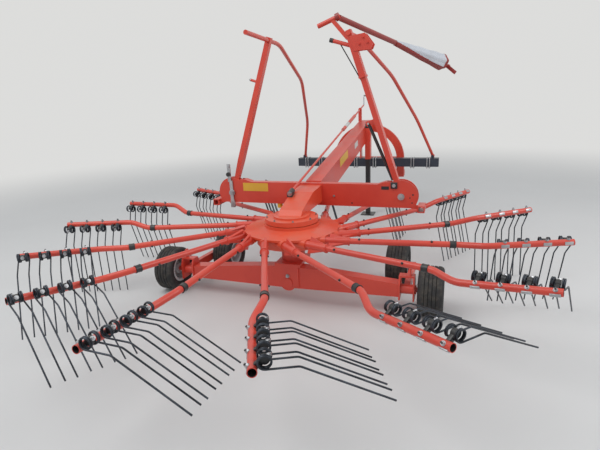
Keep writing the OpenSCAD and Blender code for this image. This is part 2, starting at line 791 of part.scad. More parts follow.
axle_beam();
axle_end(-1);  // axle_end_left
axle_end(1);  // axle_end_right
front_wheel_arm(-1);  // front_wheel_arm_left
front_wheel_arm(1);  // front_wheel_arm_right
centre_column();
gearbox_housing();
crossbeam();
lamp_socket(-1);  // lamp_socket_left
lamp_socket(1);  // lamp_socket_right
boom();
boom_head();
front_bar();
crank_foot();
height_crank();
guard_latch_lever();
input_shaft();
headstock();
stand_sleeve();
parking_leg();
rotor_hub();
for (i = [1:arm_count])
    tine_arm(i);
for (w = wheel_table) {
    tyre(w);
    rim(w);
}
guard_arm(-1);  // guard_arm_left
guard_bow(-1);  // guard_bow_left
guard_arm(1);  // guard_arm_right
guard_bow(1);  // guard_bow_right
curtain_bar();
curtain_sheet();
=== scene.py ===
import json
import math
import bpy
import bmesh
from mathutils import Matrix, Vector


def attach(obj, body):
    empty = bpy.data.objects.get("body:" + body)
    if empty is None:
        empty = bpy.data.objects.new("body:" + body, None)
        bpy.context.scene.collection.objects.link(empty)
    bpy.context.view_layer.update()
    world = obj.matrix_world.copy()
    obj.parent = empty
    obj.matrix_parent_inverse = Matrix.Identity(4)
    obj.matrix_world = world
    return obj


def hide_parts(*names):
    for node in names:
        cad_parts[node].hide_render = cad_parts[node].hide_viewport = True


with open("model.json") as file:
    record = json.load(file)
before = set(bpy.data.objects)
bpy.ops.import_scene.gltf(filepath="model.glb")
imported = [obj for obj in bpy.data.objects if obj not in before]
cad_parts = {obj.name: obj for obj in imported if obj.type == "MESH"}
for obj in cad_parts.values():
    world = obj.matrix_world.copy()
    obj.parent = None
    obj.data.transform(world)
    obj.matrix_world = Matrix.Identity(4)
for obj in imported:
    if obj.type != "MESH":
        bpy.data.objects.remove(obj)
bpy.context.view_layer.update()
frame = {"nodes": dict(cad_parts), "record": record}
print("frame loaded")

# the rotor axis stands this far behind the origin
rotorBack = 0.779


# shader maths
class Knot:
    # one socket, on which sums and products can be written as on a number
    def __init__(self, shader, socket):
        self.shader = shader
        self.socket = socket

    def sum(self, operation, *values):
        return self.shader.knot("ShaderNodeMath", {"operation": operation}, *values)

    def __add__(self, other):
        return self.sum("ADD", self, other)

    def __radd__(self, other):
        return self.sum("ADD", other, self)

    def __rsub__(self, other):
        return self.sum("SUBTRACT", other, self)

    def __mul__(self, other):
        return self.sum("MULTIPLY", self, other)

    def __rmul__(self, other):
        return self.sum("MULTIPLY", other, self)

    def __pow__(self, other):
        return self.sum("POWER", self, other)

    def wave(self):
        return self.sum("SINE", self)

    def between(self, low, high):
        # 0 below low and 1 above high, with a soft step between them
        settings = {"interpolation_type": "SMOOTHSTEP"}
        return self.shader.knot("ShaderNodeMapRange", settings, self, low, high, 0.0, 1.0)


class Shader:
    # a new material, to which nodes are added by short calls
    def __init__(self, name):
        self.material = bpy.data.materials.new(name)
        self.material.use_nodes = True
        self.nodes = self.material.node_tree.nodes
        self.links = self.material.node_tree.links
        self.surface = self.nodes["Principled BSDF"]
        self.place = self.knot("ShaderNodeTexCoord", {}, out="Object")

    def feed(self, value, socket):
        if isinstance(value, Knot):
            self.links.new(value.socket, socket)
        elif value is not None:
            socket.default_value = value

    def knot(self, kind, settings, *values, out=0, **named):
        node = self.nodes.new(kind)
        for key, value in settings.items():
            setattr(node, key, value)
        for index, value in enumerate(values):
            self.feed(value, node.inputs[index])
        for key, value in named.items():
            self.feed(value, node.inputs[key])
        return Knot(self, node.outputs[out])

    def noise(self, scale, detail, rough=0.55):
        return self.knot("ShaderNodeTexNoise", {}, Vector=self.place, Scale=scale,
                         Detail=detail, Roughness=rough, out="Fac")

    def patches(self, scale, detail, rough, low, high):
        # noise that fades in from its level low up to high
        return self.noise(scale, detail, rough).between(low, high)

    def cells(self, scale):
        return self.knot("ShaderNodeTexVoronoi", {}, Vector=self.place, Scale=scale, out="Distance")

    def mix(self, factor, low, high):
        # the node's colour sockets have the numbers 6, 7 and 2
        node = self.nodes.new("ShaderNodeMix")
        node.data_type = "RGBA"
        for index, value in ((0, factor), (6, low), (7, high)):
            self.feed(value, node.inputs[index])
        return Knot(self, node.outputs[2])

    def axis(self, name, vector):
        return self.knot("ShaderNodeSeparateXYZ", {}, vector, out=name)

    def facingUp(self):
        # 1 where the surface looks up, 0 where it stands upright
        return self.axis("Z", self.knot("ShaderNodeTexCoord", {}, out="Normal"))

    def bump(self, height, strength, distance):
        return self.knot("ShaderNodeBump", {}, Strength=strength, Distance=distance, Height=height)

    def finish(self, colour, rough, metallic=None, normal=None, coat=0.0):
        self.feed(colour, self.surface.inputs["Base Color"])
        self.feed(rough, self.surface.inputs["Roughness"])
        self.feed(metallic, self.surface.inputs["Metallic"])
        self.feed(normal, self.surface.inputs["Normal"])
        self.surface.inputs["Coat Weight"].default_value = coat
        return self.material


# finishes; patches are given as scale, detail, roughness and the two levels between which they fade in
paintLook = {
    "drift": (2.3, 4.0, 0.55, 0.3, 0.72), "driftRough": 0.1,
    "scuff": (46.0, 5.0, 0.7, 0.62, 0.78), "scuffRough": 0.18, "scuffTint": 0.12, "scuffLight": (1.5, 0.05),
    "dust": (7.0, 5.0, 0.65, 0.38, 0.7), "dustRough": 0.049, "dustTint": 0.14, "dustFacing": (0.35, 0.98),
    "dustColour": (0.36, 0.31, 0.25, 1.0),
    "peel": (310.0, 2.0), "peelShare": 0.6, "swell": (34.0, 2.0), "swellShare": 0.4, "bump": (0.12, 0.002),
    "coat": 0.25, "coatRough": 0.2,
}
steelLook = {
    "film": (12.0, 4.0, 0.55, 0.35, 0.7), "filmRough": 0.2,
    "rust": (25.0, 6.0, 0.7, 0.68, 0.8), "rustRough": 0.25, "rustTint": 0.35, "rustMetallic": 0.6,
    "rustColour": (0.19, 0.08, 0.03, 1.0),
    "crystalTint": 0.35, "grain": (240.0, 2.0), "bump": (0.1, 0.001),
}
rubberLook = {
    "dark": (0.012, 0.012, 0.013, 1.0), "grey": (0.03, 0.03, 0.031, 1.0), "rough": 0.62,
    "bloom": (9.0, 5.0, 0.65, 0.36, 0.7), "bloomRough": 0.16,
    "earth": (17.0, 6.0, 0.7, 0.42, 0.66), "earthRough": 0.1, "earthTint": 0.45,
    "earthColour": (0.13, 0.11, 0.085, 1.0), "wallEdge": (0.168, 0.176), "treadEdge": (0.172, 0.194),
    "rings": 900.0, "ringShare": 0.5, "grain": (160.0, 3.0), "grainShare": 0.4, "bump": (0.3, 0.002),
}
canvasLook = {
    "threads": 2200.0, "rough": 0.55,
    "grime": (5.0, 5.0, 0.65, 0.4, 0.75), "grimeRough": 0.2, "grimeTint": 0.3,
    "crease": (14.0, 3.0), "creaseShare": 0.5, "weaveShare": 0.1, "bump": (0.35, 0.004),
}


def paintFinish(name, colour, deep, rough=0.34):
    # powder coat: slow drift of colour, orange peel, scuffs and dust on what faces up
    s = Shader(name)
    look = paintLook
    gain, lift = look["scuffLight"]
    scuffed = tuple(min(1.0, part * gain + lift) for part in colour[:3]) + (1.0,)
    drift = s.patches(*look["drift"])
    scuff = s.patches(*look["scuff"])
    dusty = s.facingUp().between(*look["dustFacing"]) * s.patches(*look["dust"])
    paint = s.mix(drift, deep, colour)
    paint = s.mix(scuff * look["scuffTint"], paint, scuffed)
    paint = s.mix(dusty * look["dustTint"], paint, look["dustColour"])
    worn = look["driftRough"] * drift + look["scuffRough"] * scuff + look["dustRough"] * dusty
    peel = s.noise(*look["peel"]) * look["peelShare"] + s.noise(*look["swell"]) * look["swellShare"]
    s.surface.inputs["Coat Roughness"].default_value = look["coatRough"]
    return s.finish(paint, rough + worn, normal=s.bump(peel, *look["bump"]), coat=look["coat"])


def steelFinish(name, light, dark, rough=0.34, metallic=1.0, crystals=90.0):
    # plated or bare steel: small crystals, a dull film and specks of rust
    s = Shader(name)
    look = steelLook
    film = s.patches(*look["film"])
    rust = s.patches(*look["rust"])
    metal = s.mix(film, dark, light)
    metal = s.mix(s.cells(crystals) * look["crystalTint"], metal, dark)
    metal = s.mix(rust * look["rustTint"], metal, look["rustColour"])
    return s.finish(metal, rough + look["filmRough"] * film + look["rustRough"] * rust,
                    metallic=metallic - look["rustMetallic"] * rust,
                    normal=s.bump(s.noise(*look["grain"]), *look["bump"]))


def rubberFinish(name, middle):
    # moulded rings on the side wall, dry grey bloom and earth in the tread
    s = Shader(name)
    look = rubberLook
    offset = s.knot("ShaderNodeVectorMath", {"operation": "SUBTRACT"}, s.place, middle)
    up = s.axis("Z", offset)
    ahead = s.axis("Y", offset)
    radius = (up * up + ahead * ahead) ** 0.5
    rings = (radius * look["rings"]).wave() * (1.0 - radius.between(*look["wallEdge"]))
    bloom = s.patches(*look["bloom"])
    earth = radius.between(*look["treadEdge"]) * s.patches(*look["earth"])
    rubber = s.mix(bloom, look["dark"], look["grey"])
    rubber = s.mix(earth * look["earthTint"], rubber, look["earthColour"])
    height = rings * look["ringShare"] + s.noise(*look["grain"]) * look["grainShare"]
    return s.finish(rubber, look["rough"] + look["bloomRough"] * bloom + look["earthRough"] * earth,
                    normal=s.bump(height, *look["bump"]))


def canvasFinish(name, light, dark, soiled):
    # coated cloth: two threads across each other on the piece's own UV map, creases and grime
    s = Shader(name)
    look = canvasLook
    sheet = s.knot("ShaderNodeUVMap", {"uv_map": "cloth"})
    warp = (s.axis("X", sheet) * look["threads"]).wave()
    weft = (s.axis("Y", sheet) * look["threads"]).wave()
    weave = (warp * weft) * 0.5 + 0.5
    grime = s.patches(*look["grime"])
    cloth = s.mix(weave, dark, light)
    cloth = s.mix(grime * look["grimeTint"], cloth, soiled)
    height = s.noise(*look["crease"]) * look["creaseShare"] + weave * look["weaveShare"]
    return s.finish(cloth, look["rough"] + look["grimeRough"] * grime, normal=s.bump(height, *look["bump"]))


paints = {
    "red": {"colour": (0.69, 0.065, 0.035, 1.0), "deep": (0.60, 0.046, 0.027, 1.0)},
    "orange": {"colour": (0.75, 0.09, 0.035, 1.0), "deep": (0.66, 0.066, 0.028, 1.0)},
    "deepRed": {"colour": (0.33, 0.03, 0.025, 1.0), "deep": (0.26, 0.022, 0.02, 1.0)},
    "blueBlack": {"colour": (0.028, 0.038, 0.058, 1.0), "deep": (0.02, 0.027, 0.042, 1.0), "rough": 0.42},
    "black": {"colour": (0.02, 0.021, 0.023, 1.0), "deep": (0.013, 0.014, 0.016, 1.0), "rough": 0.42},
    "rimGrey": {"colour": (0.55, 0.56, 0.57, 1.0), "deep": (0.47, 0.48, 0.49, 1.0), "rough": 0.4},
    "yellow": {"colour": (0.78, 0.46, 0.04, 1.0), "deep": (0.68, 0.38, 0.03, 1.0), "rough": 0.45},
    "pale": {"colour": (0.66, 0.66, 0.64, 1.0), "deep": (0.58, 0.58, 0.56, 1.0), "rough": 0.5},
}
finishes = {name: paintFinish(name + "Paint", **values) for name, values in paints.items()}
finishes["zinc"] = steelFinish("zincPlate", (0.62, 0.63, 0.65, 1.0), (0.42, 0.43, 0.45, 1.0))
finishes["steel"] = steelFinish("turnedSteel", (0.45, 0.45, 0.46, 1.0), (0.28, 0.28, 0.29, 1.0))
finishes["wire"] = steelFinish("springWire", (0.085, 0.097, 0.118, 1.0), (0.03, 0.034, 0.042, 1.0),
                               rough=0.3, metallic=0.75, crystals=60.0)
finishes["canvas"] = canvasFinish("curtainCanvas", (0.66, 0.69, 0.74, 1.0), (0.56, 0.59, 0.65, 1.0),
                                  (0.42, 0.40, 0.38, 1.0))
finishes["redCanvas"] = canvasFinish("curtainRed", (0.36, 0.035, 0.03, 1.0), (0.27, 0.025, 0.022, 1.0),
                                     (0.22, 0.08, 0.06, 1.0))
print("finishes made")

wheels = {
    "rear_left": (-1.145, -0.105), "rear_right": (1.145, -0.105),
    "front_left": (-0.835, 0.400), "front_right": (0.835, 0.400),
}
wheelHeight = 0.195
slotFinish = {
    "red_paint": "red", "orange_paint": "orange", "deep_red_paint": "deepRed", "dark_paint": "blueBlack",
    "black_paint": "black", "zinc": "zinc", "bare_steel": "steel", "curtain_canvas": "canvas",
    "rim_paint": "rimGrey",
}
for row in frame["record"]["subparts"]:
    node = frame["nodes"][row["node"]]
    if row["material_slot"] == "tyre":
        right, ahead = wheels[row["node"].replace("tyre_", "")]
        material = rubberFinish(row["node"] + "Rubber", (right, ahead - rotorBack, wheelHeight))
    else:
        material = finishes[slotFinish[row["material_slot"]]]
    node.data.materials.clear()
    node.data.materials.append(material)
print("CAD nodes finished")

# tools for the pieces; the bolt's sizes are shares of its width, but for the washer's depth
bolt = {"washerDepth": 0.003, "washer": 0.66, "nut": 0.55, "nutDepth": 0.45, "thread": 0.28}
# the bore of an open tube end: its depth, and the black paint that stands for the shade inside it (painted
# shade)
shadedBore = {"depth": 0.07, "paint": 1}
mergeWithin = 0.00002
sharpFrom = math.radians(35.0)


def along(direction):
    # turns +Z to the direction
    return Vector(direction).to_track_quat("Z", "Y").to_matrix().to_4x4()


def colourFaces(verts, paint):
    faces = {face for vert in verts for face in vert.link_faces}
    for face in faces:
        face.material_index = paint
    return faces


def addRod(bm, start, end, radius, sides, paint=0, tipRadius=None):
    start, end = Vector(start), Vector(end)
    place = Matrix.Translation((start + end) / 2) @ along(end - start)
    made = bmesh.ops.create_cone(bm, cap_ends=True, segments=sides, radius1=radius,
                                 radius2=radius if tipRadius is None else tipRadius,
                                 depth=(end - start).length, matrix=place)
    colourFaces(made["verts"], paint)


def addDrum(bm, at, direction, reach, radius, sides, paint=0, tipRadius=None):
    # a rod between two distances from a point
    start, end = (Vector(at) + Vector(direction) * distance for distance in reach)
    addRod(bm, start, end, radius, sides, paint, tipRadius)


def addBlock(bm, low, high, bevel=0.0, paint=0, place=Matrix()):
    low, high = Vector(low), Vector(high)
    size = Matrix.Diagonal((high - low).to_4d())
    size[3][3] = 1.0
    made = bmesh.ops.create_cube(bm, size=1.0, matrix=place @ Matrix.Translation((low + high) / 2) @ size)
    faces = colourFaces(made["verts"], paint)
    if bevel:
        edges = list({edge for face in faces for edge in face.edges})
        bmesh.ops.bevel(bm, geom=edges, offset=bevel, segments=2, profile=0.5,
                        affect="EDGES", material=-1)
    return made["verts"]


def addPlate(bm, corners, depth):
    # a flat plate from its corners in a plane and its depth as a vector
    face = bm.faces.new([bm.verts.new(corner) for corner in corners])
    made = bmesh.ops.extrude_face_region(bm, geom=[face], use_keep_orig=True)
    fresh = [item for item in made["geom"] if isinstance(item, bmesh.types.BMVert)]
    bmesh.ops.translate(bm, verts=fresh, vec=depth)


def addBolt(bm, at, direction, width, paint=0, thread=0.006):
    # a washer, a hexagon nut and the thread's end
    direction = Vector(direction).normalized()
    under = bolt["washerDepth"]
    top = under + width * bolt["nutDepth"]
    addDrum(bm, at, direction, (0.0, under), width * bolt["washer"], sides=20, paint=paint)
    addDrum(bm, at, direction, (under, top), width * bolt["nut"], sides=6, paint=paint)
    addDrum(bm, at, direction, (under, top + thread), width * bolt["thread"], sides=10, paint=paint)


def pushRing(bm, ring):
    # extrudes a ring of edges and gives the new vertices, the new ring and the faces between
    made = bmesh.ops.extrude_edge_only(bm, edges=ring)["geom"]
    verts = [item for item in made if isinstance(item, bmesh.types.BMVert)]
    faces = [item for item in made if isinstance(item, bmesh.types.BMFace)]
    edges = [item for item in made if isinstance(item, bmesh.types.BMEdge)]
    newRing = [edge for edge in edges if edge.verts[0] in verts and edge.verts[1] in verts]
    return verts, newRing, faces


def addTube(bm, points, radius, bend, sides, steps, paint=0, mouth=0.0, joined=False):
    # a ring is drawn along the straights and spun round the bends; a mouth gives an open end, whose bore is
    # painted black as painted shade
    points = [Vector(point) for point in points]
    at = points[0]
    made = bmesh.ops.create_circle(bm, cap_ends=False, segments=sides, radius=radius,
                                   matrix=Matrix.Translation(at) @ along(points[1] - at))
    ring = list({edge for vert in made["verts"] for edge in vert.link_edges})
    if not joined:
        bmesh.ops.contextual_create(bm, geom=ring)
    for index in range(1, len(points)):
        ahead = (points[index] - points[index - 1]).normalized()
        trim = 0.0
        if index < len(points) - 1:
            after = (points[index + 1] - points[index]).normalized()
            turn = ahead.angle(after)
            trim = bend * math.tan(turn / 2)
        stop = points[index] - ahead * trim
        verts, ring, _ = pushRing(bm, ring)
        bmesh.ops.translate(bm, verts=verts, vec=stop - at)
        at = stop
        if trim:
            inward = (after - ahead).normalized()
            centre = points[index] + inward * bend / math.cos(turn / 2)
            made = bmesh.ops.spin(bm, geom=ring, cent=centre, axis=ahead.cross(after),
                                  angle=turn, steps=steps)
            ring = [item for item in made["geom_last"] if isinstance(item, bmesh.types.BMEdge)]
            at = points[index] + after * trim
    if mouth:
        for scale, shift in ((1 - mouth / radius, 0.0), (1.0, shadedBore["depth"])):
            verts, ring, dark = pushRing(bm, ring)
            bmesh.ops.scale(bm, verts=verts, vec=(scale, scale, scale),
                            space=Matrix.Translation(-points[-1]))
            bmesh.ops.translate(bm, verts=verts, vec=-ahead * shift)
    seed = bmesh.ops.contextual_create(bm, geom=ring)["faces"][0]
    # the paint goes to every face that hangs together with the last one
    reached = {seed}
    queue = [seed]
    while queue:
        for edge in queue.pop().edges:
            for face in edge.link_faces:
                if face not in reached:
                    reached.add(face)
                    queue.append(face)
    for face in reached:
        face.material_index = paint
    # the bore's wall and floor are painted black: painted shade inside the open tube end
    if mouth:
        for face in dark + [seed]:
            face.material_index = shadedBore["paint"]


def makePiece(name, bm, body, materials, place=Matrix(), replaces=()):
    # the mesh is set in the row's frame, its object stays at the origin
    bmesh.ops.remove_doubles(bm, verts=bm.verts, dist=mergeWithin)
    bmesh.ops.transform(bm, verts=bm.verts, matrix=place)
    bmesh.ops.recalc_face_normals(bm, faces=bm.faces)
    mesh = bpy.data.meshes.new(name)
    bm.to_mesh(mesh)
    bm.free()
    mesh.shade_smooth()
    mesh.set_sharp_from_angle(angle=sharpFrom)
    for material in materials:
        mesh.materials.append(finishes[material])
    piece = bpy.data.objects.new(name, mesh)
    bpy.context.scene.collection.objects.link(piece)
    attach(piece, body)
    if replaces:
        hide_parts(*replaces)
    return piece


def inRotor(point):
    # from a place measured from the rotor axis and the floor to the row's frame
    return Vector((point[0], point[1] - rotorBack, point[2]))


# tine arms
arm = {
    "count": 15, "first": 173.25, "height": 0.584, "offset": 0.236,
    "radius": 0.0225, "wall": 0.0035, "bend": 0.19, "start": 0.245,
    "kink": (1.315, 0.0, 0.0), "tinedFrom": (1.484, -0.052, 0.057), "tinedTo": (2.048, 0.012, 0.054),
    "tilts": (0, 15, 49, 65, 75, 78, 78, 64, 33, 11, 0, 0, 0, 0, 0),
    # sleeve, its collar and a cone, from the sleeve's end: reach, radius, radius of the far end
    "sleeveEnd": 0.508,
    "sleeve": (((-0.1777, 0.0), 0.030, 0.030), ((-0.002, 0.007), 0.035, 0.035),
               ((0.006, 0.011), 0.0275, 0.0232)),
    # black rubber band with two clips, from its middle: reach, height above the tube
    "bandAt": 1.27,
    "band": (((-0.022, 0.022), 0.004), ((-0.020, -0.014), 0.0055), ((0.014, 0.020), 0.0055)),
    "gusset": 0.35765, "gussetHalf": 0.066, "gussetHalfDepth": 0.009, "gussetNarrowed": 0.33,
    "bolts": (0.59, 1.12), "boltWidth": 0.013, "boltThread": 0.002,
}
tine = {
    "pairs": 4, "first": 0.038, "pitch": 0.136, "wire": 0.00475, "wireSides": 8,
    "coil": 0.0292, "turns": 2, "turnSteps": 16, "coilRun": 0.0096, "reach": 0.068,
    "angle": -40.0, "leave": -167.0, "knee": (0.056, -0.190), "tip": (-0.060, -0.624), "kneeBend": 0.045,
    "boltAngle": 65.0, "boltWidth": 0.019, "threadEnd": (0.0120, 0.0173), "threadRadius": 0.0056,
    "stripAngle": 145.0, "strip": ((-0.027, -0.011, -0.002), (0.027, 0.011, 0.003)), "stripBevel": 0.001,
    "clamp": 0.021, "block": ((-0.011, 0.018, -0.014), (0.011, 0.064, 0.014)), "blockBevel": 0.003,
    "barrel": (-0.0125, 0.0125), "barrelRadius": 0.022, "clampBolt": 0.088,
}
# how deep plates and bolts are sunk into what carries them
sunk = 0.001
tinedEnd = Vector(arm["tinedTo"])
tined = (tinedEnd - Vector(arm["tinedFrom"])).normalized()
tineSpots = [tinedEnd - tined * (tine["first"] + index * tine["pitch"]) for index in range(tine["pairs"])]


def across(angle, radius=1.0):
    # a point round the arm's tube, from its leading side upwards
    return Vector((0.0, radius * math.cos(math.radians(angle)), radius * math.sin(math.radians(angle))))


def drawArmTube():
    bm = bmesh.new()
    # the tube ends in an open mouth whose bore is painted black: painted shade
    addTube(bm, [(arm["start"], 0, 0), arm["kink"], arm["tinedFrom"], arm["tinedTo"]],
            arm["radius"], arm["bend"], sides=28, steps=8, mouth=arm["wall"])
    for reach, radius, tipRadius in arm["sleeve"]:
        addDrum(bm, (arm["sleeveEnd"], 0, 0), (1, 0, 0), reach, radius, sides=28, tipRadius=tipRadius)
    for reach, height in arm["band"]:
        addDrum(bm, (arm["bandAt"], 0, 0), (1, 0, 0), reach, arm["radius"] + height, sides=28, paint=1)
    # gusset plate that narrows outwards
    verts = addBlock(bm, (arm["gusset"], -arm["gussetHalf"], -arm["gussetHalfDepth"]),
                     (arm["sleeveEnd"], arm["gussetHalf"], arm["gussetHalfDepth"]))
    for vert in verts:
        if vert.co.x > (arm["gusset"] + arm["sleeveEnd"]) / 2:
            vert.co.y *= arm["gussetNarrowed"]
    # through bolts with dark ends
    for x in arm["bolts"]:
        for side in (-1, 1):
            addBolt(bm, (x, 0, side * (arm["radius"] - sunk)), (0, 0, side), arm["boltWidth"],
                    paint=1, thread=arm["boltThread"])
    # bolt and pale clip strip of each double tine
    turned = tined.to_track_quat("X", "Z").to_matrix().to_4x4()
    out = across(tine["boltAngle"])
    stripSpot = (turned @ Matrix.Rotation(math.radians(tine["stripAngle"] - 90.0), 4, "X")
                 @ Matrix.Translation((0, 0, arm["radius"])))
    for at in tineSpots:
        addBolt(bm, at + out * (arm["radius"] - sunk), out, tine["boltWidth"], paint=2)
        addDrum(bm, at + out * arm["radius"], out, tine["threadEnd"], tine["threadRadius"],
                sides=12, paint=1)
        addBlock(bm, *tine["strip"], tine["stripBevel"], paint=2, place=Matrix.Translation(at) @ stripSpot)
    return bm


def drawArmTines():
    bm = bmesh.new()
    heart = across(tine["angle"], tine["reach"])
    sweep = tine["turns"] * 360.0 + tine["leave"] + 360.0 - (tine["angle"] + 180.0)
    steps = round(sweep / 360.0 * tine["turnSteps"])
    for at in tineSpots:
        centre = at + heart
        for side in (-1, 1):
            drift = side * tine["coilRun"] * sweep / 360.0
            fromX = side * (tine["clamp"] / 2 + tine["wire"])
            begin = centre + Vector((fromX, 0, 0)) + across(tine["angle"] + 180.0, tine["coil"])
            profile = bmesh.ops.create_circle(
                bm, cap_ends=True, segments=tine["wireSides"], radius=tine["wire"],
                matrix=Matrix.Translation(begin) @ along(across(tine["angle"] + 270.0)))
            ring = list({edge for vert in profile["verts"] for edge in vert.link_edges})
            bmesh.ops.spin(bm, geom=ring, cent=centre, axis=(1, 0, 0), dvec=(drift / steps, 0, 0),
                           angle=math.radians(sweep), steps=steps)
            leave = centre + Vector((fromX + drift, 0, 0)) + across(tine["leave"], tine["coil"])
            knee, tip = (Vector((leave.x, at.y + y, at.z + z)) for y, z in (tine["knee"], tine["tip"]))
            # the wire goes on from the coil's last ring
            addTube(bm, [leave, knee, tip], tine["wire"], tine["kneeBend"], sides=tine["wireSides"],
                    steps=5, joined=True)
        # clamp of each pair: a block from the tube to the coils, a barrel between them and a pale bolt
        turn = Matrix.Translation(at) @ Matrix.Rotation(math.radians(tine["angle"]), 4, "X")
        addBlock(bm, *tine["block"], tine["blockBevel"], paint=1, place=turn)
        addDrum(bm, centre, (1, 0, 0), tine["barrel"], tine["barrelRadius"], sides=20, paint=1)
        addBolt(bm, at + across(tine["angle"], tine["clampBolt"]), across(tine["angle"]), tine["boltWidth"],
                paint=2)
    return bm


tubeMesh = drawArmTube()
tineMesh = drawArmTines()
for index in range(arm["count"]):
    spot = (Matrix.Translation((0, -rotorBack, 0))
            @ Matrix.Rotation(math.radians(arm["first"] + index * 360.0 / arm["count"]), 4, "Z")
            @ Matrix.Translation((0, -arm["offset"], arm["height"]))
            @ Matrix.Rotation(math.radians(arm["tilts"][index]), 4, "X"))
    node = f"tine_arm_{index + 1}"
    makePiece(f"armTube_{index + 1}", tubeMesh.copy(), "rotor", ["red", "black", "zinc"],
              spot, [node])
    makePiece(f"armTines_{index + 1}", tineMesh.copy(), "rotor", ["wire", "black", "zinc"],
              spot, [node])
tubeMesh.free()
tineMesh.free()
print("tine arms made")

# gearbox cover: its bolts, but for those where the housing's block stands, and a pale filler plug;
# the block begins and ends at these shares of the ring
cover = {"bolts": 8, "first": 22.5, "ring": 0.205, "top": 0.7112, "boltWidth": 0.013,
         "blockFrom": 0.5, "blockHalf": 0.62,
         "plug": ((0.212, 0.046, 0.694), (0.238, 0.052, 0.694)), "plugRadius": 0.011}
bm = bmesh.new()
for index in range(cover["bolts"]):
    angle = math.radians(cover["first"] + index * 360.0 / cover["bolts"])
    right, ahead = math.cos(angle), math.sin(angle)
    if ahead < cover["blockFrom"] or abs(right) > cover["blockHalf"]:
        addBolt(bm, inRotor((cover["ring"] * right, cover["ring"] * ahead, cover["top"])), (0, 0, 1),
                cover["boltWidth"], paint=1)
addRod(bm, *(inRotor(end) for end in cover["plug"]), cover["plugRadius"], sides=6, paint=2)
makePiece("coverBolts", bm, "frame", ["zinc", "steel", "pale"])

# wheel hubs: plate, hub and cap, each as its reach, radius, radius of the far end and sides
hub = {"drums": (((0.004, 0.012), 0.088, 0.088, 40), ((0.010, 0.050), 0.052, 0.046, 36),
                 ((0.058, 0.086), 0.034, 0.028, 32)),
       "boltRing": 0.072, "bolts": 5, "boltFace": 0.012, "boltWidth": 0.018}
for name, (right, ahead) in wheels.items():
    bm = bmesh.new()
    at = inRotor((right, ahead, wheelHeight))
    outward = Vector((1.0 if right > 0 else -1.0, 0, 0))
    for reach, radius, tipRadius, sides in hub["drums"]:
        addDrum(bm, at, outward, reach, radius, sides, tipRadius=tipRadius)
    for index in range(hub["bolts"]):
        spot = at + across(360.0 * index / hub["bolts"], hub["boltRing"])
        addBolt(bm, spot + outward * hub["boltFace"], outward, hub["boltWidth"], paint=1)
    makePiece("hubPlate_" + name, bm, "wheel_" + name, ["red", "zinc"])
print("rotor and wheel trim made")

# guards
hinge = {"x": 0.829, "y": 0.603, "z": 0.772, "splay": 2.6, "lean": 18.3}


def atHinge(side):
    # from the guard's own frame (x outward, y along the hinge, z along the arm) to the row's frame
    place = (Matrix.Translation((hinge["x"], hinge["y"] - rotorBack, hinge["z"]))
             @ Matrix.Rotation(math.radians(-hinge["splay"]), 4, "Z")
             @ Matrix.Rotation(math.radians(-hinge["lean"]), 4, "Y"))
    return Matrix.Scale(side, 4, (1, 0, 0)) @ place


def towardMatrix(direction):
    # the same turn as the part's source gives, first round Y and then round Z
    d = Vector(direction).normalized()
    return Matrix.Rotation(math.atan2(d.y, d.x), 4, "Z") @ Matrix.Rotation(math.acos(d.z), 4, "Y")


guardTrim = {
    "strut": ((-0.081, 0.0, 0.700), (-0.028, 0.0, 0.160)), "strutRadius": 0.014,
    "lug": ((-0.103, -0.008, 0.678), (0.0, 0.008, 0.722)), "lugBevel": 0.002,
    "pin": ((-0.081, -0.024, 0.700), (-0.081, 0.024, 0.700)), "pinRadius": 0.009,
    "stub": ((-0.177, 0.0, 1.480), (-0.015, 0.0, 1.362)), "stubRadius": 0.017,
    "cap": 0.16, "capDepth": 0.002,
    "rod": ((-0.105, 0.0, 1.428), (-0.012, 0.0, 1.000)), "rodRadius": 0.005,
    "headPlate": ((0.0, 1.435), (0.132, 1.409), (0.168, 1.301), (0.140, 1.270), (0.0, 1.309)),
    "headHalf": 0.040, "plateDepth": 0.008,
    "headBolts": ((0.060, 1.345), (0.128, 1.330), (0.108, 1.382)), "boltWidth": 0.018,
    "nub": ((0.0, 0.0, 1.089), (0.083, 0.0, 1.089)), "nubRadius": 0.012, "nubBolt": 0.02,
}
bm = bmesh.new()
addRod(bm, *guardTrim["strut"], guardTrim["strutRadius"], sides=20, paint=1)
addBlock(bm, *guardTrim["lug"], guardTrim["lugBevel"])
addRod(bm, *guardTrim["pin"], guardTrim["pinRadius"], sides=16, paint=2)
addRod(bm, *guardTrim["stub"], guardTrim["stubRadius"], sides=20)
stubEnd, stubRoot = (Vector(end) for end in guardTrim["stub"])
addDrum(bm, stubEnd, stubRoot - stubEnd, (0.0, guardTrim["cap"]),
        guardTrim["stubRadius"] + guardTrim["capDepth"], sides=20, paint=1)
addRod(bm, *guardTrim["rod"], guardTrim["rodRadius"], sides=10, paint=1)
headHalf, plateDepth = guardTrim["headHalf"], guardTrim["plateDepth"]
for y in (-headHalf, headHalf - plateDepth):
    addPlate(bm, [(x, y, z) for x, z in guardTrim["headPlate"]], (0, plateDepth, 0))
for x, z in guardTrim["headBolts"]:
    for side in (-1, 1):
        addBolt(bm, (x, side * headHalf, z), (0, side, 0), guardTrim["boltWidth"])
makePiece("guardTrim_right", bm, "guard_right", ["red", "black", "zinc"], atHinge(1))
bm = bmesh.new()
addRod(bm, *guardTrim["nub"], guardTrim["nubRadius"], sides=20)
addBolt(bm, guardTrim["nub"][1], (1, 0, 0), guardTrim["nubBolt"], paint=1)
makePiece("guardTrim_left", bm, "guard_left", ["red", "zinc"], atHinge(-1))
print("guard trim made")

